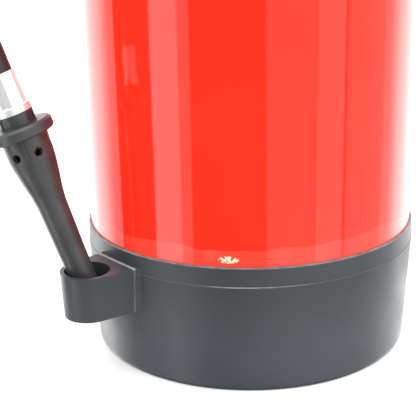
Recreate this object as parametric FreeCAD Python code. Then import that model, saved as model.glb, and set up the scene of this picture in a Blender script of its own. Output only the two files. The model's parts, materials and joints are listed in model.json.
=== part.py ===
"""Nine-litre stored-pressure fire extinguisher.

Millimetres, +Z up. The origin is on the cylinder's axis, on the surface it stands on.
-Y is the front with the gauge, -X is the hose side and +X is the handle side.
"""
import FreeCAD, Part
import math
import os

Vec = FreeCAD.Vector
X, Y, Z = Vec(1, 0, 0), Vec(0, 1, 0), Vec(0, 0, 1)
ORIGIN = Vec(0, 0, 0)

# Driving dimensions of the pressure vessel
BODY_R = 90.0
WALL = 1.5
KNUCKLE_LOW_Z = 60.0
SHOULDER_Z = 466.0
LOW_KNUCKLE_R = 25.0
LOW_CROWN_R = 140.0
TOP_KNUCKLE_R = 28.0
TOP_CROWN_R = 120.0
NECK_R = 22.0
NECK_BORE_R = 15.0
NECK_Z0 = 508.0
NECK_Z1 = 528.0
WELD_R = 1.4
NECK_WELD = 3.4

# Base cup and its nozzle socket
CUP_H = 68.7
CUP_RIM_R = BODY_R + 1.4
CUP_RIM_ROUND = 0.5
CUP_FOOT_R = BODY_R - 1.7
CUP_FOOT_ROUND = 2.2
CUP_STEP_Z = CUP_H - 10.0
CUP_STEP = 0.3
CUP_WALL = 2.0
CUP_FLOOR_T = 3.0
CUP_WEB_R = 62.0
CUP_DRAINS = 6
CUP_DRAIN_R = 4.0
CUP_DRAIN_PITCH_R = 38.0
CUP_RIBS = 8
CUP_RIB_T = 2.5
CUP_RIB_Z = 34.0
SOCKET_AZ = 180.0 + 40.7
SOCKET_R = 111.5
SOCKET_HOLE_R = 11.8
SOCKET_WALL = 2.2
SOCKET_TOP = 62.0
SOCKET_BOTTOM = 38.0
SOCKET_DRAFT = 1.2
SOCKET_FLOOR_T = 2.5
SOCKET_DRAIN_R = 4.0
PAD_R = 93.4
PAD_HALF = 16.0
PAD_BLEND = 6.0

# Valve on the neck
PORT_Z = 546.0
GASKET_T = 1.5
HEX_AF = 38.0
HEX_T = 8.5
COLUMN_R = 15.0
HEAD_X = 22.0
HEAD_HALF = 8.0
HEAD_Z0 = 554.0
HEAD_Z1 = 588.0
HEAD_ROUND = 3.0
CHAMBER_R = 7.5
VALVE_LOW_Z = NECK_Z0 + 2.0
SEAT_Z = 537.0
SEAT_R = 5.0
STEM_R = 3.0
STEM_TOP = 592.2
STEM_ROUND = 1.2
O_RING_Z = 574.0
O_RING_T = 2.4
O_RING_W = 2.0
POPPET_R = 6.6
POPPET_T = 2.4
SEAL_T = 2.2
GUIDE_T = 6.0
RETAINER_T = 6.0
RETAINER_COLLAR = 3.0
RETAINER_GAP = 0.6
SPRING_R = 5.2
SPRING_WIRE_R = 0.7
SPRING_TURNS = 4
RUN_GAP = 0.05
OUTLET_R = 9.0
OUTLET_X = -34.0
GAUGE_BOSS_R = 6.5
GAUGE_BOSS_Y = -22.0
GAUGE_STUB_R = 4.5
GAUGE_STUB_L = 8.0
GAUGE_BORE_R = 1.5

# Dip tube, down to just above the bottom dome
DIP_R = 6.5
DIP_WALL = 1.5
DIP_LOW_Z = 26.0
SPIGOT_L = 16.0
STRAINER_L = 14.0
STRAINER_WALL = 1.5
STRAINER_REACH = 6.0
STRAINER_SLOT_W = 2.0
STRAINER_SLOTS = 4

# Handles: both are pressed steel channels
STEEL = 2.0
HANDLE_SOFT = 1.3
LEVER_HALF = 12.5
CARRY_HALF = HEAD_HALF + STEEL
PIVOT = Vec(-16, 0, 584)
PIVOT_R = 3.0
LOCK = Vec(16, 0, 582)
LOCK_R = 1.75
LOCK_SLOT = 8.0
LOCK_GAP = 0.6
PIN_PROUD = 0.4
PIN_HEAD = 1.4
PIN_END = 4.0
EYE_Y = -24.0
EYE_R = 3.6
EYE_T = 2.4
EYE_HOLE_R = 2.0
RING_R = 11.0
RING_WIRE_R = 1.2
RIVET_R = 2.5
RIVET_HEAD = 1.5
RIVET_HEAD_T = 1.3
RIVET_Z = 563.0
RIVET_XS = (9.0, 18.0)
ACROSS = 20.0

# Pressure gauge
GAUGE_R = 16.0
GAUGE_AF = 13.0
GAUGE_BACK_Y = -26.0
GAUGE_FRONT_Y = -36.0
DIAL_Y = -28.6
DIAL_T = 0.6
DIAL_R = GAUGE_R - 1.6
DIAL_HOLE_R = 1.0
ARBOR_R = 0.8
HUB_R = 1.9
HUB_T = 1.2
POINTER_T = 0.6
POINTER_TIP = 10.5
POINTER_TAIL = 4.0
LENS_T = 1.2
LENS_INSET = 0.4

# Hose, its fittings and the nozzle
HOSE_R = 7.5
HOSE_BORE_R = 4.6
FERRULE_LIP_R = 9.3
LIP_ROUND = 0.4
CRIMPS = 8
CRIMP_FLAT_R = 7.85
CRIMP_CORNER_R = 8.3
TAIL_R = HOSE_BORE_R
TAIL_BORE_R = 3.2
TAIL_FLANGE_T = 3.0
TAIL_REACH = 4.0
NUT_AF = 24.0
NUT_GAP = 0.4
NUT_X0, NUT_X1 = -26.0, -42.0
HOSE_START_X = -64.0
UPPER_FERRULE_X = (-46.0, -49.5, -72.0)
NOZZLE_LEAN = 18.5
NOZZLE_FOOT = Vec(-88.2, -72.6, SOCKET_TOP)
TIP_S = -17.0
TIP_R = 6.4
OUTLET_BORE_R = 5.2
MIXING_R = 8.6
SWELL_R = 11.5
FLANGE_S0, FLANGE_S1 = 74.5, 80.5
FLANGE_R = 16.3
COLLAR_TOP_S = 86.5
COLLAR_R = 9.3
NOTCHES = 4
NOTCH_DEG = -116.0
NOTCH_DEEP = 0.9
NOTCH_HALF = 2.6
JET_S = 70.0
JET_R = 5.5
ORIFICE_R = 1.8
TAIL_SHOULDER_R = 7.3
TAIL_SHOULDER_T = 1.5
BEAD_TOP_S = 90.2
FERRULE_TOP_S = 107.0
AIR_HOLE_S = 66.5
AIR_HOLE_R = 2.3
AIR_HOLES = 6
AIR_HOLE_DEG = -55.0
RIBS = 3
RIB_DEG = -85.0
RIB_T = 1.5
HOSE_END_S = 98.0
HOSE_AIM_S = 146.0
LEAN_SIN = math.sin(math.radians(NOZZLE_LEAN))
LEAN_COS = math.cos(math.radians(NOZZLE_LEAN))


def on_nozzle_axis(s):
    """Point on the leaning nozzle axis, s up from the plane of the socket's top face."""
    return NOZZLE_FOOT + Vec(-LEAN_SIN, 0, LEAN_COS) * s


HOSE_ROUTE = [
    Vec(HOSE_START_X, 0, PORT_Z),
    Vec(-100, 0, PORT_Z),
    Vec(-137, -2, 534.5),
    Vec(-166, -6, 507),
    Vec(-184, -15, 467),
    Vec(-188, -28, 416),
    Vec(-182, -44, 360),
    Vec(-169, -58, 304),
    Vec(-152, -68, 250),
    on_nozzle_axis(HOSE_AIM_S),
    on_nozzle_axis(HOSE_END_S),
]

# Label and wall hanger
LABEL_T = 0.2
LABEL_Z0, LABEL_Z1 = 262.0, 424.0
LABEL_HALF_DEG = 118.0
HANGER_Z = 452.0
HANGER_W = 26.0
HANGER_T = 3.0
HANGER_LEG = 17.0
HANGER_HEAD = 12.0
HANGER_GAP = 9.0
HANGER_HOLE_R = 4.5


# ---------------------------------------------------------------- helpers
def save(shape, name):
    shape.exportStep("parts/" + name + ".step")
    print(name, "valid", shape.isValid(), "solids", len(shape.Solids), "volume", round(shape.Volume, 1))


def rod(radius, start, end):
    """Solid cylinder between two points."""
    along = end - start
    return Part.makeCylinder(radius, along.Length, start, along)


def tube(outer, inner, start, end):
    return rod(outer, start, end).cut(rod(inner, start, end))


def box(x0, x1, y0, y1, z0, z1):
    return Part.makeBox(x1 - x0, y1 - y0, z1 - z0, Vec(x0, y0, z0))


def revolve(points, axis_point=ORIGIN, axis=Z):
    """Solid of revolution from (radius, height) points in the XZ plane."""
    corners = [Vec(r, 0, z) for r, z in points]
    face = Part.Face(Part.makePolygon(corners + corners[:1]))
    return face.revolve(axis_point, axis, 360)


def prism_y(points, half):
    """Side profile of (x, z) points, extruded across Y by half each way."""
    corners = [Vec(x, -half, z) for x, z in points]
    face = Part.Face(Part.makePolygon(corners + corners[:1]))
    return face.extrude(Vec(0, 2 * half, 0))


def pressed_y(points, half, soften):
    """Side profile of (x, z, corner radius) points, extruded across Y, with its outline edges rounded."""
    count = len(points)
    edges = []
    ends = []
    for k, (x, z, radius) in enumerate(points):
        corner = Vec(x, -half, z)
        before = Vec(points[k - 1][0], -half, points[k - 1][1])
        after = Vec(points[(k + 1) % count][0], -half, points[(k + 1) % count][1])
        into = (corner - before).normalize()
        out = (after - corner).normalize()
        turn = into.getAngle(out)
        cut = radius * math.tan(turn / 2)
        start, end = corner - into * cut, corner + out * cut
        middle = corner + (out - into).normalize() * (radius / math.cos(turn / 2) - radius)
        edges.append(Part.Arc(start, middle, end).toShape())
        ends.append((start, end))
    for k in range(count):
        edges.append(Part.makeLine(ends[k - 1][1], ends[k][0]))
    face = Part.Face(Part.Wire(Part.__sortEdges__(edges)))
    solid = face.extrude(Vec(0, 2 * half, 0))
    rims = [edge for edge in solid.Edges if edge.BoundBox.YLength < 0.001]
    return solid.makeFillet(soften, rims)


def hexagon(across_flats, start, end):
    """Hexagonal prism with its axis from start to end."""
    along = end - start
    corner_r = across_flats / math.sqrt(3)
    step = math.radians(60)
    ring = [Vec(corner_r * math.cos(k * step), corner_r * math.sin(k * step), 0) for k in range(6)]
    prism = Part.Face(Part.makePolygon(ring + ring[:1])).extrude(Vec(0, 0, along.Length))
    inner = across_flats / 2 * 0.99
    outer = corner_r + 1
    slope = (outer - inner) * 0.6
    prism = prism.common(revolve([
        (0, 0), (inner, 0), (outer, slope), (outer, along.Length - slope), (inner, along.Length),
        (0, along.Length),
    ]))
    turn = FreeCAD.Rotation(Z, along)
    prism.Placement = FreeCAD.Placement(start, turn)
    return prism


def to_nozzle(shape):
    """Move a shape modelled upright on the Z axis onto the leaning nozzle axis."""
    moved = shape.copy()
    moved.rotate(ORIGIN, Y, -NOZZLE_LEAN)
    moved.translate(NOZZLE_FOOT)
    return moved


def polar(radius, degrees, z):
    angle = math.radians(degrees)
    return Vec(radius * math.cos(angle), radius * math.sin(angle), z)


# ---------------------------------------------------------------- pressure vessel
def dome_solid(knuckle_r, crown_r, inset, base_z, up):
    """Solid inside a dished end, inset from the outer skin; up is +1 or -1."""
    rim_r = BODY_R - inset
    corner_r = knuckle_r - inset
    sphere_r = crown_r - inset
    knuckle_x = BODY_R - knuckle_r
    span = crown_r - knuckle_r
    drop = math.sqrt(span ** 2 - knuckle_x ** 2)
    join = Vec(knuckle_x, 0, 0) * (crown_r - inset) * (1 / span) + Vec(0, 0, drop * sphere_r / span - drop)
    mid_angle = math.atan2(drop, knuckle_x) / 2
    mid = Vec(knuckle_x + corner_r * math.cos(mid_angle), 0, corner_r * math.sin(mid_angle))
    top = Vec(0, 0, sphere_r - drop)
    half = math.atan2(knuckle_x, drop) / 2
    crown_mid = Vec(sphere_r * math.sin(half), 0, sphere_r * math.cos(half) - drop)
    edges = [
        Part.makeLine(ORIGIN, Vec(rim_r, 0, 0)),
        Part.Arc(Vec(rim_r, 0, 0), mid, join).toShape(),
        Part.Arc(join, crown_mid, top).toShape(),
        Part.makeLine(top, ORIGIN),
    ]
    solid = Part.Face(Part.Wire(edges)).revolve(ORIGIN, Z, 360)
    if up < 0:
        solid.rotate(ORIGIN, X, 180)
    solid.translate(Vec(0, 0, base_z))
    return solid


def low_dome_outer():
    return dome_solid(LOW_KNUCKLE_R, LOW_CROWN_R, 0, KNUCKLE_LOW_Z, -1)


def bottom_dome():
    return low_dome_outer().cut(dome_solid(LOW_KNUCKLE_R, LOW_CROWN_R, WALL, KNUCKLE_LOW_Z, -1))


def body_tube():
    return tube(BODY_R, BODY_R - WALL, Vec(0, 0, KNUCKLE_LOW_Z), Vec(0, 0, SHOULDER_Z))


def top_dome():
    shell = dome_solid(TOP_KNUCKLE_R, TOP_CROWN_R, 0, SHOULDER_Z, 1)
    shell = shell.cut(dome_solid(TOP_KNUCKLE_R, TOP_CROWN_R, WALL, SHOULDER_Z, 1))
    return shell.cut(rod(NECK_R, Vec(0, 0, NECK_Z0 - 20), Vec(0, 0, NECK_Z1 + 20)))


def spin(edges):
    """Solid of revolution about Z from closed edges in the XZ plane."""
    return Part.Face(Part.Wire(edges)).revolve(ORIGIN, Z, 360)


def shoulder_weld():
    """Weld bead round the joint of tube and top dome."""
    knuckle_x = BODY_R - TOP_KNUCKLE_R

    def on_knuckle(rise):
        return Vec(knuckle_x + math.sqrt(TOP_KNUCKLE_R ** 2 - rise ** 2), 0, SHOULDER_Z + rise)

    low = Vec(BODY_R, 0, SHOULDER_Z - WELD_R)
    joint = Vec(BODY_R, 0, SHOULDER_Z)
    return spin([
        Part.Arc(low, Vec(BODY_R + WELD_R, 0, SHOULDER_Z), on_knuckle(WELD_R)).toShape(),
        Part.Arc(on_knuckle(WELD_R), on_knuckle(WELD_R / 2), joint).toShape(),
        Part.makeLine(joint, low),
    ])


def neck_ring():
    return tube(NECK_R, NECK_BORE_R, Vec(0, 0, NECK_Z0), Vec(0, 0, NECK_Z1))


def neck_weld():
    """Fillet weld where the neck ring leaves the dome."""
    drop = math.sqrt((TOP_CROWN_R - TOP_KNUCKLE_R) ** 2 - (BODY_R - TOP_KNUCKLE_R) ** 2)

    def on_crown(radius):
        return Vec(radius, 0, SHOULDER_Z - drop + math.sqrt(TOP_CROWN_R ** 2 - radius ** 2))

    toe = on_crown(NECK_R + NECK_WELD)
    heel = on_crown(NECK_R)
    top = heel + Z * NECK_WELD
    dip = (toe + top) * 0.5 - Vec(1, 0, 1) * (0.12 * NECK_WELD)
    return spin([
        Part.Arc(heel, on_crown(NECK_R + NECK_WELD / 2), toe).toShape(),
        Part.Arc(toe, dip, top).toShape(),
        Part.makeLine(top, heel),
    ])


# ---------------------------------------------------------------- base cup
def socket_outline(shrink, z):
    """Plan of the socket plate at height z, pointing along +X: a rounded end on a wider pad."""
    end_r = SOCKET_HOLE_R + SOCKET_WALL - shrink
    pad_half = PAD_HALF - shrink
    flank = math.atan2(pad_half - end_r, SOCKET_R - PAD_R)
    touch = Vec(SOCKET_R + end_r * math.sin(flank), end_r * math.cos(flank), z)
    tip = Vec(SOCKET_R + end_r, 0, z)
    near = Vec(PAD_R, pad_half, z)
    root = Vec(PAD_R - PAD_BLEND, pad_half + PAD_BLEND, z)
    bend = Vec(PAD_R - 0.72 * PAD_BLEND, pad_half + 0.28 * PAD_BLEND, z)
    back = Vec(BODY_R / 2, pad_half + PAD_BLEND, z)

    def flip(p):
        return Vec(p.x, -p.y, z)

    return Part.Wire([
        Part.makeLine(flip(near), flip(touch)),
        Part.Arc(flip(touch), tip, touch).toShape(),
        Part.makeLine(touch, near),
        Part.Arc(near, bend, root).toShape(),
        Part.makeLine(root, back),
        Part.makeLine(back, flip(back)),
        Part.makeLine(flip(back), flip(root)),
        Part.Arc(flip(root), flip(bend), flip(near)).toShape(),
    ])


def socket_plate():
    """Plate that stands out from the cup wall, drawn in towards its foot, with the nozzle's hole in it."""
    foot, top = Vec(SOCKET_R, 0, SOCKET_BOTTOM), Vec(SOCKET_R, 0, SOCKET_TOP)
    plate = Part.makeLoft([socket_outline(SOCKET_DRAFT, foot.z), socket_outline(0, top.z)], True, True)
    plate = plate.cut(rod(SOCKET_HOLE_R, foot + Z * SOCKET_FLOOR_T, top + Z))
    plate = plate.cut(rod(SOCKET_DRAIN_R, foot - Z, foot + Z * (SOCKET_FLOOR_T + 1)))
    plate.rotate(ORIGIN, Z, SOCKET_AZ)
    return plate


def cup_outside():
    """Wall that widens upwards to a small ledge, with a narrower band above it up to the rim."""
    wall_r = CUP_RIM_R + CUP_STEP
    return revolve([
        (0, 0), (CUP_FOOT_R - CUP_FOOT_ROUND, 0), (CUP_FOOT_R - CUP_FOOT_ROUND / 4, CUP_FOOT_ROUND / 4),
        (CUP_FOOT_R, CUP_FOOT_ROUND), (wall_r, CUP_STEP_Z - CUP_STEP), (CUP_RIM_R, CUP_STEP_Z),
        (CUP_RIM_R, CUP_H - CUP_RIM_ROUND), (CUP_RIM_R - CUP_RIM_ROUND, CUP_H), (0, CUP_H),
    ])


def cup_bore():
    """Space inside the cup: the body's seat at the top and a tapering wall below it."""
    return revolve([
        (0, CUP_FLOOR_T), (CUP_FOOT_R - CUP_WALL, CUP_FLOOR_T), (BODY_R, CUP_STEP_Z), (BODY_R, CUP_H + 1),
        (0, CUP_H + 1),
    ])


def cup_web():
    """Ring and ribs on the cup's floor that carry the bottom dome."""
    low = CUP_FLOOR_T - 1
    web = tube(CUP_WEB_R + CUP_RIB_T, CUP_WEB_R, Z * low, Z * CUP_RIB_Z)
    for k in range(CUP_RIBS):
        rib = box(CUP_WEB_R + 1, CUP_FOOT_R - 0.4, -CUP_RIB_T / 2, CUP_RIB_T / 2, low, CUP_RIB_Z)
        rib.rotate(ORIGIN, Z, k * 360 / CUP_RIBS)
        web = web.fuse(rib)
    return web.cut(low_dome_outer())


def base_cup():
    cup = cup_outside().fuse(socket_plate()).cut(cup_bore())
    for k in range(CUP_DRAINS):
        foot = polar(CUP_DRAIN_PITCH_R, k * 360 / CUP_DRAINS, -1)
        cup = cup.cut(rod(CUP_DRAIN_R, foot, foot + Z * (CUP_FLOOR_T + 2)))
    return cup.fuse(cup_web()).removeSplitter()


# ---------------------------------------------------------------- label and hanger
def label():
    start, end = Vec(0, 0, LABEL_Z0), Vec(0, 0, LABEL_Z1)
    outer = Part.makeCylinder(BODY_R + LABEL_T, LABEL_Z1 - LABEL_Z0, start, Z, 2 * LABEL_HALF_DEG)
    wrap = outer.cut(rod(BODY_R, start, end))
    wrap.rotate(ORIGIN, Z, -90 - LABEL_HALF_DEG)
    return wrap


def wall_hanger():
    """Bent steel strap on the back, with a hole for a wall hook."""
    half = HANGER_W / 2
    inner_y = BODY_R + HANGER_GAP
    outer_y = inner_y + HANGER_T
    low = HANGER_Z - HANGER_LEG
    plate = box(-half, half, inner_y, outer_y, low, HANGER_Z + HANGER_HEAD)
    foot = box(-half, half, BODY_R - HANGER_T, outer_y, low - HANGER_T, low)
    strap = plate.fuse(foot)
    strap = strap.cut(rod(HANGER_HOLE_R, Vec(0, BODY_R, HANGER_Z), Vec(0, outer_y + 1, HANGER_Z)))
    return strap.cut(rod(BODY_R, Z * (low - 2 * HANGER_T), Z * SHOULDER_Z)).removeSplitter()


# ---------------------------------------------------------------- valve
def neck_gasket():
    return tube(NECK_R - GASKET_T, NECK_BORE_R, Z * NECK_Z1, Z * (NECK_Z1 + GASKET_T))


def at_port(x):
    return Vec(x, 0, PORT_Z)


def across(point, half):
    """Ends of a rod that runs across Y through a point."""
    return point - Y * half, point + Y * half


def valve_blank():
    """Forged and turned outside of the valve, before it is bored."""
    hex_z = NECK_Z1 + GASKET_T
    blank = rod(NECK_BORE_R, Z * VALVE_LOW_Z, Z * hex_z)
    blank = blank.fuse(hexagon(HEX_AF, Z * hex_z, Z * (hex_z + HEX_T)))
    blank = blank.fuse(rod(COLUMN_R, Z * hex_z, Z * (HEAD_Z0 + 1)))
    head = box(-HEAD_X, HEAD_X, -HEAD_HALF, HEAD_HALF, HEAD_Z0, HEAD_Z1)
    blank = blank.fuse(head.makeFillet(HEAD_ROUND, [e for e in head.Edges if e.BoundBox.YLength > HEAD_HALF]))
    blank = blank.fuse(rod(OUTLET_R, at_port(0), at_port(OUTLET_X)))
    return blank.fuse(along_gauge(GAUGE_BOSS_R, 0, GAUGE_BOSS_Y))


def valve_body():
    body = valve_blank()
    body = body.cut(rod(CHAMBER_R, Z * NECK_Z0, Z * SEAT_Z))
    body = body.cut(rod(SEAT_R, Z * (SEAT_Z - 1), Z * (HEAD_Z0 + 2)))
    body = body.cut(rod(STEM_R + RUN_GAP, Z * HEAD_Z0, Z * (HEAD_Z1 + 1)))
    body = body.cut(rod(STEM_R + O_RING_W, Z * O_RING_Z, Z * (O_RING_Z + O_RING_T)))
    body = body.cut(rod(SEAT_R, at_port(0), at_port(OUTLET_X - 1)))
    body = body.cut(along_gauge(GAUGE_BORE_R, 0, GAUGE_BOSS_Y - 1))
    body = body.cut(along_gauge(GAUGE_STUB_R, GAUGE_BOSS_Y + GAUGE_STUB_L, GAUGE_BOSS_Y - 1))
    body = body.cut(rod(PIVOT_R, *across(PIVOT, ACROSS)))
    body = body.cut(rod(LOCK_R + RUN_GAP, *across(LOCK, ACROSS)))
    return cut_rivet_holes(body).removeSplitter()


def cut_rivet_holes(shape):
    for x in RIVET_XS:
        shape = shape.cut(rod(RIVET_R, *across(Vec(x, 0, RIVET_Z), ACROSS)))
    return shape


def stem_o_ring():
    return tube(STEM_R + O_RING_W, STEM_R + RUN_GAP / 2, Z * O_RING_Z, Z * (O_RING_Z + O_RING_T))


def valve_stem():
    """Stem with the poppet under its seat, and a guide below the poppet."""
    poppet_top = SEAT_Z - SEAL_T
    poppet_low = poppet_top - POPPET_T
    return revolve([
        (0, poppet_low - GUIDE_T), (STEM_R, poppet_low - GUIDE_T), (STEM_R, poppet_low),
        (POPPET_R, poppet_low), (POPPET_R, poppet_top), (STEM_R, poppet_top),
        (STEM_R, STEM_TOP - STEM_ROUND), (STEM_R - STEM_ROUND, STEM_TOP - STEM_ROUND / 4), (0, STEM_TOP),
    ])


def poppet_seal():
    return tube(POPPET_R, STEM_R, Z * (SEAT_Z - SEAL_T), Z * SEAT_Z)


def valve_spring():
    """Open coil under the poppet."""
    low = VALVE_LOW_Z + RETAINER_T
    high = SEAT_Z - SEAL_T - POPPET_T
    pitch = (high - low - 2 * SPRING_WIRE_R) / SPRING_TURNS
    heading = Vec(0, SPRING_R, pitch / (2 * math.pi))
    start = Part.Wire(Part.makeCircle(SPRING_WIRE_R, Vec(SPRING_R, 0, 0), heading))
    edges = []
    for k in range(2 * SPRING_TURNS):
        half_turn = Part.makeHelix(pitch, pitch / 2, SPRING_R)
        half_turn.rotate(ORIGIN, Z, 180 * k)
        half_turn.translate(Z * (pitch / 2 * k))
        edges += half_turn.Edges
    coil = Part.Wire(edges).makePipeShell([start], True, True)
    coil.translate(Z * (low + SPRING_WIRE_R))
    return coil


def spring_retainer():
    """Bush in the bottom of the valve that carries the spring and the dip tube."""
    low = VALVE_LOW_Z - SPIGOT_L
    bush = rod(CHAMBER_R, Z * VALVE_LOW_Z, Z * (VALVE_LOW_Z + RETAINER_T))
    spigot = rod(DIP_R - DIP_WALL, Z * low, Z * VALVE_LOW_Z)
    collar = rod(CHAMBER_R + RETAINER_COLLAR, Z * NECK_Z0, Z * VALVE_LOW_Z)
    bore = rod(STEM_R + RETAINER_GAP, Z * low, Z * (VALVE_LOW_Z + RETAINER_T + 1))
    return bush.fuse(spigot).fuse(collar).cut(bore)


def dip_tube():
    return tube(DIP_R, DIP_R - DIP_WALL, Z * DIP_LOW_Z, Z * NECK_Z0)


def dip_strainer():
    """Slotted cap that keeps dirt out of the dip tube."""
    low = DIP_LOW_Z - STRAINER_REACH
    top = low + STRAINER_L
    cap = rod(DIP_R + STRAINER_WALL, Z * low, Z * top)
    cap = cap.cut(rod(DIP_R, Z * DIP_LOW_Z, Z * (top + 1)))
    cap = cap.cut(rod(DIP_R - DIP_WALL, Z * (low + STRAINER_WALL), Z * (DIP_LOW_Z + 1)))
    half = STRAINER_SLOT_W / 2
    for k in range(STRAINER_SLOTS):
        slot = box(0, 2 * DIP_R, -half, half, low + STRAINER_WALL, DIP_LOW_Z - STRAINER_WALL)
        slot.rotate(ORIGIN, Z, k * 360 / STRAINER_SLOTS)
        cap = cap.cut(slot)
    return cap


# ---------------------------------------------------------------- handles
def carry_handle():
    outer = pressed_y([
        (3, 556, 3), (24, 556, 12), (40, 560.5, 30), (106, 564, 14), (117, 569, 8), (119, 578.5, 1.8),
        (111, 578, 4), (46, 575, 40), (30, 571.5, 20), (3, 571.5, 4),
    ], CARRY_HALF, HANDLE_SOFT)
    inner = prism_y([
        (-10, 540), (24.4, 540), (24.4, 558.3), (40, 562.8), (105.2, 566.2), (113.2, 570), (115.6, 577),
        (115.6, 590), (-10, 590),
    ], HEAD_HALF)
    return cut_rivet_holes(outer.cut(inner))


def handle_rivets():
    """Two rivets that hold the carrying handle to the valve head."""
    shapes = []
    for x in RIVET_XS:
        centre = Vec(x, 0, RIVET_Z)
        rivet = rod(RIVET_R, *across(centre, CARRY_HALF))
        for side in (-1, 1):
            near = centre + Y * (side * CARRY_HALF)
            rivet = rivet.fuse(rod(RIVET_R + RIVET_HEAD, near, near + Y * (side * RIVET_HEAD_T)))
        shapes.append(rivet.removeSplitter())
    return Part.makeCompound(shapes)


def squeeze_lever():
    outer = pressed_y([
        (-24, 576, 6), (-24, 591.9, 4), (6, 595, 60), (110, 615.4, 12), (121, 614, 5), (120, 602.5, 4),
        (108, 603, 12), (60, 592, 60), (38, 585, 12), (22, 576, 8),
    ], LEVER_HALF, HANDLE_SOFT)
    inner = prism_y([
        (-40, 560), (-40, 588.2), (6, 592.95), (112, 613.7), (130, 612), (130, 560),
    ], LEVER_HALF - STEEL)
    lever = outer.cut(inner)
    lever = lever.cut(rod(PIVOT_R + RUN_GAP, *across(PIVOT, ACROSS)))
    half = LOCK_R + LOCK_GAP
    slot = box(LOCK.x - half, LOCK.x + half, -ACROSS, ACROSS, LOCK.z, LOCK.z + LOCK_SLOT)
    return lever.cut(slot.fuse(rod(half, *across(LOCK, ACROSS))))


def lever_pivot_pin():
    reach = LEVER_HALF + PIN_PROUD
    pin = rod(PIVOT_R, *across(PIVOT, reach))
    for side in (-1, 1):
        near = PIVOT + Y * side * reach
        pin = pin.fuse(rod(PIVOT_R + PIN_HEAD, near, near + Y * side * PIN_HEAD))
    return pin.removeSplitter()


def safety_pin():
    """Pin with a collar that stops on the lever and an eye for the ring."""
    eye = Vec(LOCK.x, EYE_Y, LOCK.z)
    collar = Vec(LOCK.x, -LEVER_HALF - EYE_T, LOCK.z)
    shape = rod(LOCK_R, eye + Y * EYE_HOLE_R, Vec(LOCK.x, LEVER_HALF + PIN_END, LOCK.z))
    shape = shape.fuse(rod(EYE_R, eye - X * (EYE_T / 2), eye + X * (EYE_T / 2)))
    shape = shape.fuse(rod(EYE_R, collar - Y * (EYE_T / 2), collar + Y * (EYE_T / 2)))
    return shape.cut(rod(EYE_HOLE_R, eye - X * EYE_T, eye + X * EYE_T)).removeSplitter()


def pull_ring():
    return Part.makeTorus(RING_R, RING_WIRE_R, Vec(LOCK.x, EYE_Y, LOCK.z - RING_R), Y)


# ---------------------------------------------------------------- gauge
def along_gauge(radius, y0, y1):
    return rod(radius, Vec(0, y0, PORT_Z), Vec(0, y1, PORT_Z))


def gauge_case():
    stub_y = GAUGE_BOSS_Y + GAUGE_STUB_L
    case = along_gauge(GAUGE_STUB_R, stub_y, GAUGE_BOSS_Y)
    case = case.fuse(hexagon(GAUGE_AF, Vec(0, GAUGE_BOSS_Y, PORT_Z), Vec(0, GAUGE_BACK_Y, PORT_Z)))
    case = case.fuse(along_gauge(GAUGE_R, GAUGE_BACK_Y, GAUGE_FRONT_Y))
    case = case.cut(along_gauge(DIAL_R, DIAL_Y, GAUGE_FRONT_Y - 1))
    case = case.cut(along_gauge(GAUGE_BORE_R - 0.3, stub_y + 1, GAUGE_BACK_Y + 2))
    return case.cut(along_gauge(ARBOR_R + RUN_GAP, DIAL_Y + DIAL_HOLE_R + DIAL_T, DIAL_Y - 1))


def gauge_dial():
    return along_gauge(DIAL_R, DIAL_Y, DIAL_Y - DIAL_T).cut(along_gauge(DIAL_HOLE_R, DIAL_Y + 1, DIAL_Y - 1))


def gauge_needle():
    """Pointer, straight up at rest, on a hub and an arbor that turns in the case."""
    hub_y = DIAL_Y - 2 * DIAL_T
    shape = along_gauge(ARBOR_R, DIAL_Y + 1.5, hub_y).fuse(along_gauge(HUB_R, hub_y, hub_y - HUB_T))
    y = hub_y - 0.2
    pointer = Part.Face(Part.makePolygon([
        Vec(-DIAL_HOLE_R, y, PORT_Z - POINTER_TAIL), Vec(DIAL_HOLE_R, y, PORT_Z - POINTER_TAIL),
        Vec(0.3, y, PORT_Z + POINTER_TIP), Vec(-0.3, y, PORT_Z + POINTER_TIP),
        Vec(-DIAL_HOLE_R, y, PORT_Z - POINTER_TAIL),
    ])).extrude(Y * -POINTER_T)
    return shape.fuse(pointer).removeSplitter()


def gauge_lens():
    front = GAUGE_FRONT_Y + LENS_INSET
    return along_gauge(DIAL_R, front + LENS_T, front)


# ---------------------------------------------------------------- hose and fittings
def ferrule(foot, lip_top, top, hose_end):
    """Crimped sleeve on Z: a round lip, then flats left by the crimp jaws, bored for tail and hose."""
    shape = rod(FERRULE_LIP_R, Z * foot, Z * lip_top)
    shape = shape.makeFillet(LIP_ROUND, [e for e in shape.Edges if e.Curve.TypeId == "Part::GeomCircle"])
    corner = CRIMP_FLAT_R / math.cos(math.pi / CRIMPS)
    ring = [polar(corner, (k + 0.5) * 360 / CRIMPS, lip_top - 1) for k in range(CRIMPS)]
    sleeve = Part.Face(Part.makePolygon(ring + ring[:1])).extrude(Z * (top - lip_top + 1))
    shape = shape.fuse(sleeve.common(rod(CRIMP_CORNER_R, Z * (lip_top - 1), Z * top)))
    shape = shape.cut(rod(HOSE_R, Z * hose_end, Z * (top + 1)))
    return shape.cut(rod(TAIL_R, Z * (foot - 1), Z * (hose_end + 1)))


def hose_nut():
    nut = hexagon(NUT_AF, at_port(NUT_X0), at_port(NUT_X1))
    nut = nut.cut(rod(OUTLET_R, at_port(NUT_X0 + 1), at_port(OUTLET_X - TAIL_FLANGE_T)))
    return nut.cut(rod(TAIL_R + NUT_GAP, at_port(OUTLET_X), at_port(NUT_X1 - 1)))


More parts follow.
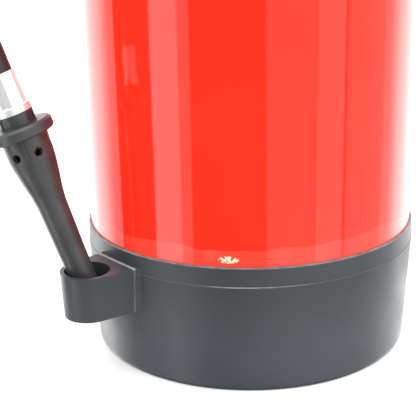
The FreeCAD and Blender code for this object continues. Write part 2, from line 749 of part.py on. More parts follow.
def hose_tail():
    """Brass tail, held in the nut by its flange and pushed into the hose."""
    end = UPPER_FERRULE_X[-1] - TAIL_REACH
    tail = rod(OUTLET_R, at_port(OUTLET_X), at_port(OUTLET_X - TAIL_FLANGE_T))
    tail = tail.fuse(rod(TAIL_R, at_port(OUTLET_X), at_port(end)))
    return tail.cut(rod(TAIL_BORE_R, at_port(OUTLET_X + 1), at_port(end - 1)))


def upper_ferrule():
    foot, lip_top, top = (-x for x in UPPER_FERRULE_X)
    sleeve = ferrule(foot, lip_top, top, -HOSE_START_X)
    sleeve.rotate(ORIGIN, Y, -90)
    sleeve.translate(at_port(0))
    return sleeve


def hose_wire():
    """Straight runs joined by tangent arcs, each as large as its two runs allow."""
    edges = []
    at = HOSE_ROUTE[0]
    for before, corner, after in zip(HOSE_ROUTE, HOSE_ROUTE[1:], HOSE_ROUTE[2:]):
        into = (corner - before).normalize()
        out = (after - corner).normalize()
        turn = into.getAngle(out)
        cut = 0.45 * min((corner - before).Length, (after - corner).Length)
        radius = cut / math.tan(turn / 2)
        start = corner - into * cut
        end = corner + out * cut
        inward = (out - into).normalize()
        middle = corner + inward * (radius / math.cos(turn / 2) - radius)
        edges.append(Part.LineSegment(at, start).toShape())
        edges.append(Part.Arc(start, middle, end).toShape())
        print("hose arc radius", round(radius, 1), "turn", round(math.degrees(turn), 1))
        at = end
    edges.append(Part.LineSegment(at, HOSE_ROUTE[-1]).toShape())
    return Part.Wire(edges)


def hose_sweep(path, radius):
    heading = HOSE_ROUTE[1] - HOSE_ROUTE[0]
    section = Part.Wire(Part.makeCircle(radius, HOSE_ROUTE[0], heading))
    return path.makePipeShell([section], True, False)


def hose():
    path = hose_wire()
    solid = hose_sweep(path, HOSE_R).cut(hose_sweep(path, HOSE_BORE_R))
    expected = math.pi * (HOSE_R ** 2 - HOSE_BORE_R ** 2) * path.Length
    print("hose length", round(path.Length, 1))
    print("hose volume over section times length", round(solid.Volume / expected, 4))
    return solid


# ---------------------------------------------------------------- nozzle, modelled upright on Z
def nozzle_outside():
    return revolve([
        (0, TIP_S), (TIP_R, TIP_S), (TIP_R + 0.4, TIP_S + 0.8), (6.85, 8), (7.55, 38), (8.3, 44), (9.8, 52),
        (11.1, 60), (SWELL_R, 64.5), (SWELL_R, FLANGE_S0), (FLANGE_R - 0.8, FLANGE_S0),
        (FLANGE_R, FLANGE_S0 + 0.8), (FLANGE_R, FLANGE_S1 - 1.2), (FLANGE_R - 1.2, FLANGE_S1),
        (COLLAR_R, FLANGE_S1), (COLLAR_R, COLLAR_TOP_S), (0, COLLAR_TOP_S),
    ])


def nozzle_bore():
    """Long outlet bore that opens into a mixing chamber behind the air holes, with the jet's seat above."""
    return revolve([
        (0, TIP_S - 1), (OUTLET_BORE_R, TIP_S - 1), (OUTLET_BORE_R, 36), (MIXING_R, 60), (MIXING_R, JET_S),
        (JET_R, JET_S), (JET_R, COLLAR_TOP_S + 1), (0, COLLAR_TOP_S + 1),
    ])


def nozzle_rib():
    """Web that stiffens the flange from below."""
    half = RIB_T / 2
    top = FLANGE_S0 + 1
    corners = [(SWELL_R - 3, 60), (SWELL_R - 0.1, 60), (SWELL_R + 1.4, top), (SWELL_R - 3, top)]
    ring = [Vec(x, -half, z) for x, z in corners]
    return Part.Face(Part.makePolygon(ring + ring[:1])).extrude(Y * RIB_T)


def nozzle_body():
    outside = nozzle_outside()
    for k in range(RIBS):
        rib = nozzle_rib()
        rib.rotate(ORIGIN, Z, RIB_DEG + k * 360 / RIBS)
        outside = outside.fuse(rib)
    body = outside.cut(nozzle_bore())
    for k in range(AIR_HOLES):
        hole = rod(AIR_HOLE_R, Vec(SWELL_R / 2, 0, AIR_HOLE_S), Vec(FLANGE_R, 0, AIR_HOLE_S))
        hole.rotate(ORIGIN, Z, AIR_HOLE_DEG + k * 360 / AIR_HOLES)
        body = body.cut(hole)
    for k in range(NOTCHES):
        notch = box(
            COLLAR_R - NOTCH_DEEP, COLLAR_R + 1, -NOTCH_HALF, NOTCH_HALF, FLANGE_S1 + 1.0, COLLAR_TOP_S - 1.2,
        )
        notch.rotate(ORIGIN, Z, NOTCH_DEG + k * 360 / NOTCHES)
        body = body.cut(notch)
    return to_nozzle(body.removeSplitter())


def nozzle_jet():
    """Orifice plug that speeds the liquid past the air holes."""
    low, top = JET_S - 8, JET_S + 10
    return to_nozzle(revolve([
        (ORIFICE_R, low), (ORIFICE_R + 1.6, low), (ORIFICE_R + 1.6, JET_S), (JET_R, JET_S), (JET_R, top),
        (ORIFICE_R + 0.8, top), (ORIFICE_R + 0.8, JET_S - 2), (ORIFICE_R, low + 3),
    ]))


def nozzle_tail():
    """Tail that joins the nozzle to the hose."""
    shoulder = COLLAR_TOP_S + TAIL_SHOULDER_T
    end = FERRULE_TOP_S + TAIL_REACH
    return to_nozzle(revolve([
        (TAIL_BORE_R, JET_S + 10), (JET_R, JET_S + 10), (JET_R, COLLAR_TOP_S),
        (TAIL_SHOULDER_R, COLLAR_TOP_S), (TAIL_SHOULDER_R, shoulder), (TAIL_R, shoulder), (TAIL_R, end),
        (TAIL_BORE_R, end),
    ]))


def lower_ferrule():
    sleeve = ferrule(COLLAR_TOP_S, BEAD_TOP_S, FERRULE_TOP_S, HOSE_END_S)
    seat = rod(TAIL_SHOULDER_R, Z * (COLLAR_TOP_S - 1), Z * (COLLAR_TOP_S + TAIL_SHOULDER_T))
    return to_nozzle(sleeve.cut(seat))


os.makedirs("parts", exist_ok=True)
PARTS = [
    body_tube, bottom_dome, top_dome, shoulder_weld, neck_ring, neck_weld, base_cup, label, wall_hanger,
    neck_gasket, valve_body, stem_o_ring, valve_stem, poppet_seal, valve_spring, spring_retainer,
    dip_tube, dip_strainer, carry_handle, handle_rivets, squeeze_lever, lever_pivot_pin,
    safety_pin, pull_ring, gauge_case, gauge_dial, gauge_needle, gauge_lens,
    hose_nut, hose_tail, upper_ferrule, hose, nozzle_body, nozzle_jet, nozzle_tail, lower_ferrule,
]
for make in PARTS:
    save(make(), make.__name__)
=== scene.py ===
"""Looks of the nine-litre fire extinguisher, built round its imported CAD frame. Metres, +Z up."""
import math

import bmesh
import bpy
from mathutils import Matrix, Vector
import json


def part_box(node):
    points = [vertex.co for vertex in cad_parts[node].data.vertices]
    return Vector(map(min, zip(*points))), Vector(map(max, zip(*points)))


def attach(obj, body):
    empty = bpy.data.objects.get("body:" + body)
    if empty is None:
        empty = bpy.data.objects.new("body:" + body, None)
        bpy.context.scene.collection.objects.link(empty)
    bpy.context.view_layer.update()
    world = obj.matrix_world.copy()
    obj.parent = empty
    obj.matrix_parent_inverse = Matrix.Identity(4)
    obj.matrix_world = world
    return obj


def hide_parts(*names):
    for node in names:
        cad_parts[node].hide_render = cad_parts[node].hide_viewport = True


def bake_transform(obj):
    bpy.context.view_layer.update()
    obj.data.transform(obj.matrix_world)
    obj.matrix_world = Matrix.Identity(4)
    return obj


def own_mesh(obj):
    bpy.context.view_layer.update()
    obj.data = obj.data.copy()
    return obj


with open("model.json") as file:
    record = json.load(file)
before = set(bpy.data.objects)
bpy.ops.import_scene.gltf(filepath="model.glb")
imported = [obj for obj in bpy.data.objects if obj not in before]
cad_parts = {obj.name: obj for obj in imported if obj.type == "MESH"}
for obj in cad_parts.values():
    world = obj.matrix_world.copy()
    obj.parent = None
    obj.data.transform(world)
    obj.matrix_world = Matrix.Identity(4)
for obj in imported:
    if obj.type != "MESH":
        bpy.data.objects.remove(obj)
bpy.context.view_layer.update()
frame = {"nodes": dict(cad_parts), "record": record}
NODES = frame["nodes"]

MM = 0.001

# The object's own sizes, as in the CAD
BODY_R = 90 * MM
CUP_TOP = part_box("base_cup")[1][2]
CUP_WALL_R = BODY_R + 1.4 * MM
CUP_STEP_Z = CUP_TOP - 10 * MM
SOCKET_AZ = math.radians(220.7)
SOCKET_TOP = 62 * MM
SOCKET_DEPTH = 26 * MM
PAD_R = 93.4 * MM
PAD_HALF = 16 * MM
PORT_Z = 546 * MM
LEAN = math.radians(18.5)
NOZZLE_FOOT = Vector((-88.2, -72.6, 62)) * MM
NOZZLE_UP = Vector((-math.sin(LEAN), 0, math.cos(LEAN)))
HOSE_R = 7.5 * MM
HOSE_AIM = 146
HOSE_END = 98

# Camera: pitch is down, yaw to the right and roll clockwise, in degrees
LENS = 88.8
SENSOR = 36
CAMERA_AT = (-0.0131, -0.5638, 0.2544)
CAMERA_TURN = (18.18, -0.96, 1.15)
CAMERA_FAR = 20

# Stage and light
FLOOR_R = 2.4
BEND_R = 0.8
BEND_STEPS = 8
WALL_TOP = 3.6
PANEL_FAR = 1.5
PANEL_H = 3.0
PANELS = (
    # name, azimuth and width in degrees, radiance
    ("left_strip", -57, 20, 2.9),
    ("left_rest", -43, 8, 1.2),
    ("right_near", 26, 32, 0.9),
    ("right_key", 53, 20, 1.6),
    ("right_wide", 82, 34, 1.1),
    ("right_side", 124, 50, 1.7),
    ("left_side", -124, 50, 1.5),
)
TOP_AT = (0, -0.3, 1.9)
TOP_SIZE = 2.4
TOP_POWER = 40
WORLD_FRONT = 0.04
WORLD_BACK = 2.0
WORLD_SKY = 1.1
BACK_FROM = 0.3
BACK_TO = 0.5
SKY_TO = 0.25

# Wear and grain of the red paint; a mark is its degrees round, height, half width and half height
RUBBED_DOWN = 10 * MM
RUBBED_H = 9.5 * MM
RUBBED_WANDER = 1.6 * MM
SCUFF = (-8, CUP_TOP + 3.8 * MM, 5.5 * MM, 2 * MM)
SMEAR = (-18, CUP_TOP + 7 * MM, 12 * MM, 1.8 * MM)
SCRATCH = (-43.3, 168 * MM, 1.5 * MM, 9 * MM)
NIB_SPACING = 42 * MM
NIB_SIZE = 1.1 * MM
NIB_SHARE = 0.5
PEEL_DEPTH = 0.08 * MM
WAVE_DEPTH = 0.5 * MM
WELD_RIPPLE = 1.8 * MM
WELD_DEPTH = 0.4 * MM

# Gauge dial: angles in radians from the top
DIAL_SWEEP = 1.35
DIAL_CHARGED = 0.42
DIAL_TICK_STEP = 0.225
DIAL_BAND = (8.5 * MM, 12.2 * MM)
DIAL_TICKS = (12.2 * MM, 13.4 * MM)

# Label layout, from its middle sideways and from its ends up and down
HEAD_HALF = 92 * MM
HEAD_DROP = (34 * MM, 6 * MM)
LOWER_BLOCK = (10 * MM, 66 * MM)
LINE_STEP = 5.5 * MM
LINE_SHARE = 0.3
COLUMNS = ((36 * MM, 84 * MM), (104 * MM, 168 * MM))
BOX_STEP = 30 * MM
BOX_DROP = 58 * MM
BOX_OUTER = (0.42, 12.6 * MM)
BOX_INNER = (0.36, 10.8 * MM)
BOXES_HALF = 75 * MM
CENTRE_HALF = 26 * MM


# ---------------------------------------------------------------- camera, stage and light
def make_camera():
    data = bpy.data.cameras.new("camera")
    data.lens = LENS
    data.sensor_width = SENSOR
    data.clip_end = CAMERA_FAR
    camera = bpy.data.objects.new("camera", data)
    camera.location = CAMERA_AT
    pitch, yaw, roll = (math.radians(a) for a in CAMERA_TURN)
    turn = Matrix.Rotation(-yaw, 4, "Z") @ Matrix.Rotation(math.pi / 2 - pitch, 4, "X")
    turn = turn @ Matrix.Rotation(-roll, 4, "Z")
    camera.matrix_world = Matrix.Translation(camera.location) @ turn
    bpy.context.collection.objects.link(camera)
    bpy.context.scene.camera = camera


def ring_surface(name, profile, around=96):
    """Open surface of revolution about Z through (radius, height) points, and its rings of vertices."""
    mesh = bmesh.new()
    rings = []
    for radius, height in profile:
        ring = []
        for k in range(around):
            angle = 2 * math.pi * k / around
            ring.append(mesh.verts.new((radius * math.cos(angle), radius * math.sin(angle), height)))
        rings.append(ring)
    for low, high in zip(rings, rings[1:]):
        for k in range(around):
            n = (k + 1) % around
            mesh.faces.new((low[k], low[n], high[n], high[k]))
    return mesh, rings


def make_stage():
    """Pale round floor, and a backdrop that curves up from its edge; neither shows in a mirror."""
    mesh, rings = ring_surface("floor", [(FLOOR_R / 2, 0), (FLOOR_R, 0)])
    mesh.faces.new(rings[0])
    floor = to_object("floor", mesh)
    curve = [k * math.pi / 2 / BEND_STEPS for k in range(BEND_STEPS + 1)]
    profile = [(FLOOR_R + BEND_R * math.sin(a), BEND_R - BEND_R * math.cos(a)) for a in curve]
    mesh, rings = ring_surface("backdrop", profile + [(FLOOR_R + BEND_R, WALL_TOP)])
    backdrop = to_object("backdrop", mesh, smooth=True)
    for piece in (floor, backdrop):
        piece.data.materials.append(FLOOR)
        piece.visible_glossy = False
    backdrop.visible_diffuse = False
    backdrop.visible_shadow = False


def make_panel(name, azimuth, width, radiance):
    """Upright light panel; azimuth is in degrees from the front, positive to the right."""
    angle = math.radians(azimuth)
    place = Vector((PANEL_FAR * math.sin(angle), -PANEL_FAR * math.cos(angle), 0))
    data = bpy.data.lights.new(name, "AREA")
    data.shape = "RECTANGLE"
    data.size = 2 * PANEL_FAR * math.tan(math.radians(width / 2))
    data.size_y = PANEL_H
    data.energy = radiance * math.pi * data.size * data.size_y
    light = bpy.data.objects.new(name, data)
    light.location = place
    light.rotation_euler = (-place).to_track_quat("-Z", "Y").to_euler()
    light.visible_camera = False
    bpy.context.collection.objects.link(light)


def make_top_light():
    data = bpy.data.lights.new("top_softbox", "AREA")
    data.size = TOP_SIZE
    data.energy = TOP_POWER
    light = bpy.data.objects.new("top_softbox", data)
    light.location = TOP_AT
    light.visible_camera = False
    bpy.context.collection.objects.link(light)


def make_world():
    """White behind and above, nearly dark in front."""
    world = bpy.data.worlds.new("studio")
    world.use_nodes = True
    tree = world.node_tree
    place = tree.nodes.new("ShaderNodeTexCoord")
    parts = tree.nodes.new("ShaderNodeSeparateXYZ")
    tree.links.new(place.outputs["Generated"], parts.inputs["Vector"])
    level = tree.nodes.new("ShaderNodeMath")
    level.operation = "MAXIMUM"
    sides = (("Y", BACK_FROM, BACK_TO, WORLD_FRONT, WORLD_BACK), ("Z", 0.0, SKY_TO, 0.0, WORLD_SKY))
    for slot, (axis, *numbers) in zip(level.inputs, sides):
        glow = tree.nodes.new("ShaderNodeMapRange")
        for name, number in zip(("From Min", "From Max", "To Min", "To Max"), numbers):
            glow.inputs[name].default_value = number
        tree.links.new(parts.outputs[axis], glow.inputs["Value"])
        tree.links.new(glow.outputs["Result"], slot)
    background = tree.nodes["Background"]
    tree.links.new(level.outputs["Value"], background.inputs["Strength"])
    background.inputs["Color"].default_value = (1, 1, 1, 1)
    bpy.context.scene.world = world


def make_lights():
    """High-key studio: upright panels round the object, one light above, and a graded world."""
    for row in PANELS:
        make_panel(*row)
    make_top_light()
    make_world()
    bpy.context.scene.view_settings.view_transform = "Standard"


# ---------------------------------------------------------------- mesh helpers
def to_object(name, mesh, smooth=False):
    data = bpy.data.meshes.new(name)
    mesh.normal_update()
    mesh.to_mesh(data)
    mesh.free()
    for face in data.polygons:
        face.use_smooth = smooth
    obj = bpy.data.objects.new(name, data)
    bpy.context.collection.objects.link(obj)
    return obj


# ---------------------------------------------------------------- material helpers
class Look:
    """A material under construction: its nodes, with short ways to add the usual ones."""

    def __init__(self, name, color, rough, metal=0.0, coat=0.0, coat_rough=0.05):
        self.mat = bpy.data.materials.new(name)
        self.mat.use_nodes = True
        self.tree = self.mat.node_tree
        self.bsdf = self.tree.nodes["Principled BSDF"]
        self.bsdf.inputs["Base Color"].default_value = (*color, 1)
        self.bsdf.inputs["Roughness"].default_value = rough
        self.bsdf.inputs["Metallic"].default_value = metal
        self.bsdf.inputs["Coat Weight"].default_value = coat
        self.bsdf.inputs["Coat Roughness"].default_value = coat_rough
        self.place = self.node("ShaderNodeTexCoord").outputs["Object"]

    def node(self, kind, **settings):
        made = self.tree.nodes.new(kind)
        for key, value in settings.items():
            setattr(made, key, value)
        return made

    def link(self, a, b):
        self.tree.links.new(a, b)

    def scaled(self, factors):
        mapping = self.node("ShaderNodeMapping")
        mapping.inputs["Scale"].default_value = factors
        self.link(self.place, mapping.inputs["Vector"])
        return mapping.outputs["Vector"]

    def noise(self, scale, detail=4, rough=0.5, stretch=(1, 1, 1)):
        noise = self.node("ShaderNodeTexNoise")
        noise.inputs["Scale"].default_value = scale
        noise.inputs["Detail"].default_value = detail
        noise.inputs["Roughness"].default_value = rough
        self.link(self.scaled(stretch), noise.inputs["Vector"])
        return noise.outputs["Fac"]

    def ramp(self, value, stops):
        ramp = self.node("ShaderNodeValToRGB")
        band = ramp.color_ramp
        while len(band.elements) < len(stops):
            band.elements.new(0.5)
        for element, (at, color) in zip(band.elements, stops):
            element.position = at
            element.color = (*color, 1)
        self.link(value, ramp.inputs["Fac"])
        return ramp.outputs["Color"]

    def steps(self, value, low, high, to_low=0.0, to_high=1.0):
        """Map a value's range low..high to to_low..to_high."""
        made = self.node("ShaderNodeMapRange")
        for slot, number in zip(("From Min", "From Max", "To Min", "To Max"), (low, high, to_low, to_high)):
            made.inputs[slot].default_value = number
        self.link(value, made.inputs["Value"])
        return made.outputs["Result"]

    def math(self, how, a, b=None):
        made = self.node("ShaderNodeMath", operation=how)
        for slot, value in zip(made.inputs, (a, b)):
            if value is None:
                continue
            if isinstance(value, (int, float)):
                slot.default_value = value
            else:
                self.link(value, slot)
        return made.outputs["Value"]

    def axes(self):
        parts = self.node("ShaderNodeSeparateXYZ")
        self.link(self.place, parts.inputs["Vector"])
        return parts.outputs["X"], parts.outputs["Y"], parts.outputs["Z"]

    def mix(self, factor, a, b):
        made = self.node("ShaderNodeMix", data_type="RGBA")
        self.put(made.inputs["Factor"], factor)
        self.put(made.inputs["A"], a)
        self.put(made.inputs["B"], b)
        return made.outputs["Result"]

    def put(self, slot, value):
        if isinstance(value, bpy.types.NodeSocket):
            self.link(value, slot)
        elif isinstance(value, tuple):
            slot.default_value = (*value, 1)
        else:
            slot.default_value = value

    def product(self, *values):
        result = values[0]
        for value in values[1:]:
            result = self.math("MULTIPLY", result, value)
        return result

    def between(self, value, low, high, soft=0.0002):
        """1 where value lies between low and high, with edges this soft."""
        rise = self.steps(value, low - soft, low + soft)
        fall = self.steps(value, high - soft, high + soft, 1.0, 0.0)
        return self.math("MULTIPLY", rise, fall)

    def radius(self):
        """Distance from the body's axis."""
        x, y, _ = self.axes()
        return self.math("SQRT", self.math("ADD", self.math("MULTIPLY", x, x), self.math("MULTIPLY", y, y)))

    def girth(self):
        """Distance round the body from its front, positive to the right."""
        x, y, _ = self.axes()
        return self.math("MULTIPLY", self.math("ARCTAN2", x, self.math("MULTIPLY", y, -1.0)), BODY_R)

    def spot(self, degrees, height, half_wide, half_high):
        """1 at a place on the body, fading to 0 at the edge of an oval round it."""
        across = self.math("SUBTRACT", self.girth(), math.radians(degrees) * BODY_R)
        up = self.math("SUBTRACT", self.axes()[2], height)
        across = self.math("DIVIDE", across, half_wide)
        up = self.math("DIVIDE", up, half_high)
        away = self.math("ADD", self.math("MULTIPLY", across, across), self.math("MULTIPLY", up, up))
        return self.steps(away, 0.0, 1.0, 1.0, 0.0)

    def nibs(self, spacing, size, share):
        """Sparse round specks, held by about this share of the cells of a cell pattern."""
        cells = self.node("ShaderNodeTexVoronoi")
        cells.inputs["Scale"].default_value = 1 / spacing
        self.link(self.place, cells.inputs["Vector"])
        near = self.steps(cells.outputs["Distance"], 0.0, size / spacing, 1.0, 0.0)
        pick = self.node("ShaderNodeSeparateColor")
        self.link(cells.outputs["Color"], pick.inputs["Color"])
        return self.math("MULTIPLY", near, self.math("LESS_THAN", pick.outputs["Red"], share))

    def color(self, value):
        self.link(value, self.bsdf.inputs["Base Color"])

    def rough(self, value):
        self.link(value, self.bsdf.inputs["Roughness"])

    def bump(self, height, distance, strength):
        """Add a bump to the base and the coat, over any that is there already."""
        made = self.node("ShaderNodeBump")
        made.inputs["Strength"].default_value = strength
        made.inputs["Distance"].default_value = distance
        self.link(height, made.inputs["Height"])
        before = self.bsdf.inputs["Normal"].links
        if before:
            self.link(before[0].from_socket, made.inputs["Normal"])
        for name in ("Normal", "Coat Normal"):
            self.link(made.outputs["Normal"], self.bsdf.inputs[name])


# ---------------------------------------------------------------- materials
def floor_paint():
    look = Look("floor_paint", (0.9, 0.9, 0.9), 0.6)
    look.rough(look.steps(look.noise(9), 0.3, 0.7, 0.5, 0.7))
    return look.mat


def rubbed_band(look, streak):
    """1 in the rubbed band over the cup, with a wandering upper edge and faint streaks."""
    wander = look.steps(look.noise(45, 2), 0.3, 0.7, -RUBBED_WANDER, RUBBED_WANDER)
    edge = look.math("ADD", look.axes()[2], wander)
    band = look.between(edge, CUP_TOP - RUBBED_DOWN, CUP_TOP + RUBBED_H, 0.3 * MM)
    return look.product(band, look.steps(streak, 0.0, 1.0, 0.45, 1.0))


def red_paint(name="red_paint_gloss", ripple=False):
    """Gloss powder coat: orange peel, cloudiness, dust nibs, and a rubbed and chipped band over the cup."""
    look = Look(name, (0.82, 0.022, 0.008), 0.6, coat=1.0, coat_rough=0.08)
    look.bsdf.inputs["Specular IOR Level"].default_value = 0
    paint = look.ramp(look.noise(7, 3), [(0.3, (0.78, 0.018, 0.006)), (0.7, (0.86, 0.025, 0.010))])
    streak = look.steps(look.noise(60, 3, stretch=(1, 1, 0.15)), 0.3, 0.7)
    paint = look.mix(rubbed_band(look, streak), paint, (0.92, 0.055, 0.035))
    flecks = look.steps(look.noise(620, 5, 0.7), 0.48, 0.54)
    chipped = look.math("MINIMUM", look.product(look.spot(*SCUFF), flecks, 2.6), 1.0)
    paint = look.mix(chipped, paint, (0.98, 0.72, 0.5))
    paint = look.mix(look.product(look.spot(*SMEAR), streak, 0.06), paint, (0.98, 0.45, 0.36))
    paint = look.mix(look.product(look.spot(*SCRATCH), 0.45), paint, (0.98, 0.12, 0.06))
    nibs = look.nibs(NIB_SPACING, NIB_SIZE, NIB_SHARE)
    look.color(look.mix(look.product(nibs, 0.5), paint, (0.98, 0.25, 0.12)))
    peel = look.math("ADD", look.product(look.noise(300, 2), 0.35), look.product(nibs, 0.8))
    look.bump(peel, PEEL_DEPTH, 0.5)
    look.bump(look.noise(18, 2, stretch=(1, 1, 0.6)), WAVE_DEPTH, 0.35)
    if ripple:
        turns = look.math("SINE", look.math("DIVIDE", look.girth(), WELD_RIPPLE / (2 * math.pi)))
        look.bump(turns, WELD_DEPTH, 0.8)
    return look.mat


def in_socket_frame(look):
    """Coordinates outwards and sideways in the socket plate's own plan."""
    x, y, z = look.axes()
    cos, sin = math.cos(SOCKET_AZ), math.sin(SOCKET_AZ)
    outward = look.math("ADD", look.product(x, cos), look.product(y, sin))
    sideways = look.math("SUBTRACT", look.product(y, cos), look.product(x, sin))
    return outward, sideways, z


def edge_highlights_and_wear(look):
    """1 along the rim, the ledge and the socket plate's inner ridge: painted highlights where these edges
    catch the light, partly plastic rubbed pale.
    """
    outward, sideways, z = in_socket_frame(look)
    ridge = look.between(outward, PAD_R - 0.5 * MM, PAD_R + 0.4 * MM)
    flank = look.product(ridge, look.between(z, SOCKET_TOP - SOCKET_DEPTH, SOCKET_TOP + MM), 0.25)
    crest = look.product(
        look.between(outward, PAD_R - 0.9 * MM, PAD_R + 0.9 * MM),
        look.between(look.math("ABSOLUTE", sideways), -MM, PAD_HALF + MM),
        look.between(z, SOCKET_TOP - 0.5 * MM, SOCKET_TOP + 0.5 * MM),
    )
    on_wall = look.between(look.radius(), CUP_WALL_R - 2 * MM, CUP_WALL_R + MM)
    # the painted highlight on the ledge fades away from the front, where the light catches it
    near_front = look.steps(look.math("ABSOLUTE", look.girth()), 10 * MM, 30 * MM, 0.5, 0.06)
    at_step = look.between(z, CUP_STEP_Z - 0.45 * MM, CUP_STEP_Z + 0.05 * MM)
    ledge = look.product(at_step, on_wall, near_front)
    rim = look.product(look.between(z, CUP_TOP - 0.5 * MM, CUP_TOP + MM), 0.4)
    return look.math("MAXIMUM", look.math("MAXIMUM", crest, flank), look.math("MAXIMUM", ledge, rim))


def cup_plastic():
    """Satin moulded plastic: fine texture, painted shade darkening it towards the rim, scuffs, and painted
    highlights along the edges, partly rubbed pale plastic.
    """
    look = Look("cup_plastic", (0.05, 0.056, 0.062), 0.42)
    look.bsdf.inputs["Specular IOR Level"].default_value = 0.25
    cloud = look.ramp(look.noise(14, 4), [(0.3, (0.042, 0.047, 0.053)), (0.7, (0.060, 0.066, 0.074))])
    # painted shade: the upper part of the cup wall is darkened towards the rim
    painted_shade_to_rim = look.steps(look.axes()[2], 0.3 * CUP_TOP, 0.8 * CUP_TOP, 0.0, 0.4)
    cloud = look.mix(painted_shade_to_rim, cloud, (0.018, 0.018, 0.019))
    patchy = look.steps(look.noise(160, 4), 0.35, 0.6, 0.45, 1.0)
    # pale painted highlights along the rim, the ledge and the socket ridge, partly rubbed pale plastic
    paint = look.mix(look.product(edge_highlights_and_wear(look), patchy, 0.8), cloud, (0.42, 0.43, 0.42))
    scuffs = look.steps(look.noise(55, 6, 0.75, (1, 1, 6)), 0.66, 0.74)
    look.color(look.mix(look.product(scuffs, 0.25), paint, (0.2, 0.21, 0.22)))
    look.rough(look.steps(look.noise(40, 5), 0.3, 0.7, 0.34, 0.5))
    look.bump(look.noise(900, 3), 0.05 * MM, 0.3)
    return look.mat


def nozzle_plastic():
    look = Look("nozzle_plastic", (0.035, 0.037, 0.039), 0.38)
    look.color(look.ramp(look.noise(60, 4), [(0.3, (0.028, 0.03, 0.032)), (0.7, (0.045, 0.047, 0.049))]))
    look.rough(look.steps(look.noise(90, 4), 0.3, 0.7, 0.3, 0.46))
    look.bump(look.noise(1500, 3), 0.03 * MM, 0.3)
    return look.mat


def rubber(name, level, rough):
    look = Look(name, (level, level, level), rough)
    look.color(look.ramp(look.noise(80, 4), [(0.3, (level * 0.8,) * 3), (0.7, (level * 1.3,) * 3)]))
    look.rough(look.steps(look.noise(120, 3), 0.3, 0.7, rough - 0.07, rough + 0.07))
    look.bump(look.noise(1400, 2), 0.04 * MM, 0.4)
    return look.mat


def bright_metal(name, color, rough, stretch=(1, 1, 1), metal=1.0):
    look = Look(name, color, rough, metal=metal)
    grain = look.noise(700, 3, 0.6, stretch)
    look.color(look.ramp(look.noise(50, 4), [(0.3, tuple(c * 0.88 for c in color)), (0.7, color)]))
    look.rough(look.steps(grain, 0.3, 0.7, rough * 0.7, rough * 1.4))
    look.bump(grain, 0.02 * MM, 0.3)
    return look.mat


def black_coat():
    look = Look("black_powder_coat", (0.018, 0.018, 0.02), 0.38, coat=0.3, coat_rough=0.2)
    look.color(look.ramp(look.noise(120, 4), [(0.3, (0.014, 0.014, 0.016)), (0.7, (0.026, 0.026, 0.028))]))
    look.bump(look.noise(1100, 3), 0.06 * MM, 0.5)
    return look.mat


def clear_lens():
    look = Look("clear_lens", (1, 1, 1), 0.03)
    look.bsdf.inputs["Transmission Weight"].default_value = 1.0
    look.bsdf.inputs["IOR"].default_value = 1.49
    look.rough(look.steps(look.noise(200, 2), 0.3, 0.7, 0.01, 0.05))
    return look.mat


def dial_face():
    """White dial with a red, a green and a red sector, and ticks round its rim."""
    white = (0.9, 0.9, 0.87)
    look = Look("dial_face_print", white, 0.4)
    x, _, z = look.axes()
    up = look.math("SUBTRACT", z, PORT_Z)
    turn = look.math("ARCTAN2", x, up)
    angle = look.math("ABSOLUTE", turn)
    radius = look.math("SQRT", look.math("ADD", look.math("MULTIPLY", x, x), look.math("MULTIPLY", up, up)))
    shown = look.math("LESS_THAN", angle, DIAL_SWEEP)
    paint = look.mix(shown, white, (0.7, 0.02, 0.015))
    paint = look.mix(look.math("LESS_THAN", angle, DIAL_CHARGED), paint, (0.02, 0.38, 0.08))
    face = look.mix(look.between(radius, *DIAL_BAND), white, paint)
    beat = look.math("ABSOLUTE", look.math("SINE", look.product(turn, math.pi / DIAL_TICK_STEP)))
    ticks = look.product(look.math("LESS_THAN", beat, 0.12), shown, look.between(radius, *DIAL_TICKS))
    face = look.mix(ticks, face, (0.03, 0.03, 0.03))
    dust = look.product(look.steps(look.noise(300, 3), 0.5, 0.7), 0.15)
    look.color(look.mix(dust, face, (0.7, 0.68, 0.6)))
    return look.mat


def label_lines(look, side, z, low):
    """1 on the ragged bars that stand for lines of print, in two columns at each side."""
    beat = look.math("FRACT", look.math("DIVIDE", z, LINE_STEP))
    block = look.between(z, low + LOWER_BLOCK[0], low + LOWER_BLOCK[1])
    bars = look.product(look.math("LESS_THAN", beat, LINE_SHARE), block)
    column = look.math("ADD", *(look.between(side, *edges) for edges in COLUMNS))
    ragged = look.math("GREATER_THAN", look.noise(34, 2, stretch=(1, 1, 5.4)), 0.42)
    return look.product(bars, column, ragged)


def label_boxes(look, u, side, z, high, half_wide, half_high):
    """1 inside a row of boxes; half_wide is a share of their step."""
    place = look.math("FRACT", look.math("DIVIDE", u, BOX_STEP))
    across = look.math("ABSOLUTE", look.math("SUBTRACT", place, 0.5))
    up = look.math("ABSOLUTE", look.math("SUBTRACT", z, high - BOX_DROP))
    inside = look.math("LESS_THAN", across, half_wide)
    return look.product(inside, look.math("LESS_THAN", up, half_high), look.between(side, -MM, BOXES_HALF))


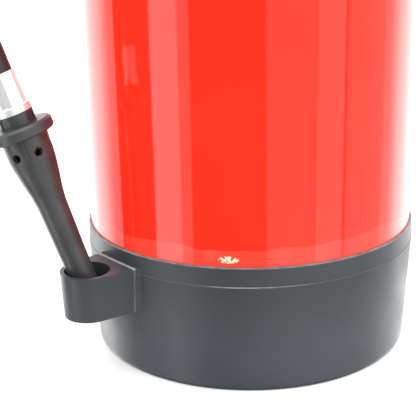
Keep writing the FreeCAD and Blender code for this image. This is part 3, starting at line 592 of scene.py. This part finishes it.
def label_film():
    """Printed film without words: a coloured head, a row of empty boxes, bars for lines and a red panel."""
    white = (0.60, 0.60, 0.58)
    ink = (0.06, 0.06, 0.07)
    look = Look("label_film_print", white, 0.3, coat=0.4)
    u = look.girth()
    z = look.axes()[2]
    low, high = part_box("label")[0][2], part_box("label")[1][2]
    side = look.math("ABSOLUTE", u)
    face = look.ramp(look.noise(20, 3), [(0.3, (0.56, 0.56, 0.54)), (0.7, white)])
    head = look.between(z, high - HEAD_DROP[0], high - HEAD_DROP[1])
    face = look.mix(look.product(head, look.between(side, -MM, HEAD_HALF)), face, (0.48, 0.38, 0.14))
    face = look.mix(label_lines(look, side, z, low), face, ink)
    face = look.mix(label_boxes(look, u, side, z, high, *BOX_OUTER), face, ink)
    face = look.mix(label_boxes(look, u, side, z, high, *BOX_INNER), face, (0.52, 0.51, 0.46))
    centre = look.between(z, low + LOWER_BLOCK[0], low + LOWER_BLOCK[1])
    face = look.mix(look.product(look.between(side, -MM, CENTRE_HALF), centre), face, (0.55, 0.03, 0.02))
    look.color(face)
    look.bump(look.noise(500, 2), 0.02 * MM, 0.3)
    return look.mat


FLOOR = floor_paint()
LOOKS = {
    "red_paint": red_paint(),
    "base_plastic": cup_plastic(),
    "nozzle_plastic": nozzle_plastic(),
    "hose_rubber": rubber("hose_rubber_cover", 0.012, 0.46),
    "seal_rubber": rubber("seal_rubber_black", 0.015, 0.5),
    "brass": bright_metal("brass_turned", (0.74, 0.53, 0.26), 0.24),
    "plated_steel": bright_metal("plated_steel_bright", (0.72, 0.72, 0.74), 0.2),
    "spring_steel": bright_metal("spring_steel_wire", (0.6, 0.6, 0.62), 0.28),
    "black_paint": black_coat(),
    "ferrule_aluminium": bright_metal("ferrule_aluminium_bright", (0.95, 0.95, 0.96), 0.36, metal=0.7),
    "gauge_glass": clear_lens(),
    "dial_face": dial_face(),
    "needle_paint": rubber("needle_paint_black", 0.02, 0.35),
    "label_film": label_film(),
    "dip_plastic": rubber("dip_tube_plastic", 0.7, 0.35),
}
WELD_PAINT = red_paint("red_paint_over_weld", ripple=True)


def dress_cad_nodes():
    slots = {part["node"]: part["material_slot"] for part in frame["record"]["subparts"]}
    for name, obj in NODES.items():
        material = WELD_PAINT if name in ("shoulder_weld", "neck_weld") else LOOKS[slots[name]]
        if not obj.material_slots:
            obj.data.materials.append(material)
        for held in obj.material_slots:
            held.link = "OBJECT"
            held.material = material


# ---------------------------------------------------------------- hose
def on_nozzle_axis(s):
    """Point this many millimetres up the nozzle's axis."""
    return NOZZLE_FOOT + NOZZLE_UP * s * MM


HOSE_ROUTE = [Vector(p) * MM for p in (
    (-64, 0, 546), (-100, 0, 546), (-137, -2, 534.5), (-166, -6, 507), (-184, -15, 467), (-188, -28, 416),
    (-182, -44, 360), (-169, -58, 304), (-152, -68, 250),
)] + [on_nozzle_axis(HOSE_AIM), on_nozzle_axis(HOSE_END)]


def route_points():
    """Points along the smooth line that the route controls."""
    data = bpy.data.curves.new("hose_line", "CURVE")
    data.dimensions = "3D"
    spline = data.splines.new("NURBS")
    spline.points.add(len(HOSE_ROUTE) - 1)
    for point, place in zip(spline.points, HOSE_ROUTE):
        point.co = (*place, 1)
    spline.order_u = 3
    spline.use_endpoint_u = True
    spline.resolution_u = 16
    line = bpy.data.objects.new("hose_line", data)
    bpy.context.collection.objects.link(line)
    mesh = bpy.data.meshes.new_from_object(line)
    points = [v.co.copy() for v in mesh.vertices]
    bpy.data.objects.remove(line)
    return points


def sweep(name, points, radius, sides=32):
    """Closed tube along points, with frames carried along so that it doesn't twist."""
    mesh = bmesh.new()
    rings = []
    side = Vector((0, 1, 0))
    for k, place in enumerate(points):
        ahead = (points[min(k + 1, len(points) - 1)] - points[max(k - 1, 0)]).normalized()
        side = (side - ahead * side.dot(ahead)).normalized()
        other = ahead.cross(side)
        ring = []
        for n in range(sides):
            angle = 2 * math.pi * n / sides
            ring.append(mesh.verts.new(place + (side * math.cos(angle) + other * math.sin(angle)) * radius))
        rings.append(ring)
    for low, high in zip(rings, rings[1:]):
        for n in range(sides):
            m = (n + 1) % sides
            mesh.faces.new((low[n], low[m], high[m], high[n]))
    mesh.faces.new(list(reversed(rings[0])))
    mesh.faces.new(rings[-1])
    bmesh.ops.recalc_face_normals(mesh, faces=mesh.faces)
    return to_object(name, mesh, smooth=True)


def make_hose():
    points = route_points()
    tube = sweep("hose_cover", points, HOSE_R)
    tube.data.materials.append(LOOKS["hose_rubber"])
    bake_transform(tube)
    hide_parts("hose")


def make_spring():
    """The valve's spring again, as a separate piece hung on the root body."""
    spring = bpy.data.objects.new("valve_spring_coil", NODES["valve_spring"].data.copy())
    bpy.context.collection.objects.link(spring)
    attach(spring, "root")
    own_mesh(spring)
    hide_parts("valve_spring")


make_camera()
make_stage()
make_lights()
dress_cad_nodes()
make_hose()
make_spring()
